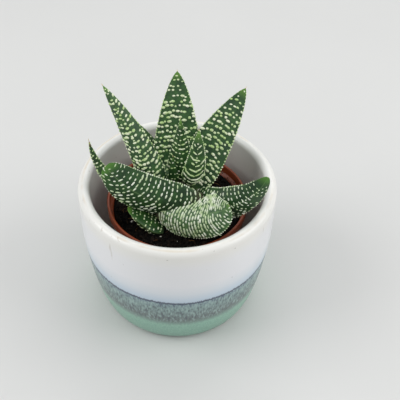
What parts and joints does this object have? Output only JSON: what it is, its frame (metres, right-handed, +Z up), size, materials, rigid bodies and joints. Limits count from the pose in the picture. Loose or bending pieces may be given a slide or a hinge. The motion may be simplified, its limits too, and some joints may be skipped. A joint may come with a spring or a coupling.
{
  "type": "potted haworthia",
  "caption": "Small zebra-striped succulent rosette in a nursery pot, set inside a rounded glazed ceramic pot.",
  "frame": {"origin": "centre of the ceramic pot's base, on the surface it stands on", "axes": "+Z up along the pot's axis; -Y is the front, where the two low front leaves lie; +X is to the viewer's right"},
  "size_m": [0.082, 0.082, 0.11],
  "materials": {
    "ceramic_pot": "glossy white glaze with a streaked blue-grey and mint band at the base",
    "nursery_pot": "terracotta-coloured moulded plastic",
    "potting_mix": "dark, loose, slightly damp peat mix with perlite specks",
    "root_crown": "pale fleshy stem and roots",
    "leaf": "waxy dark green flesh with raised white pearly bumps",
    "dry_leaf": "dry, papery tan leaf remnant"
  },
  "bodies": {
    "root": {"ceramic_pot": "ceramic_pot", "nursery_pot": "nursery_pot", "potting_mix": "potting_mix", "root_crown": "root_crown", "leaf_back": "leaf", "leaf_left_tall": "leaf", "leaf_right_tall": "leaf", "leaf_left_rear": "leaf", "leaf_far_left": "leaf", "leaf_front_left": "leaf", "leaf_front_right": "leaf", "leaf_right_low": "leaf", "leaf_front_stub": "leaf", "leaf_inner_right": "leaf", "leaf_inner_back": "leaf", "leaf_heart": "leaf", "dry_scale_right": "dry_leaf", "dry_scale_front": "dry_leaf"}
  },
  "joints": []
}
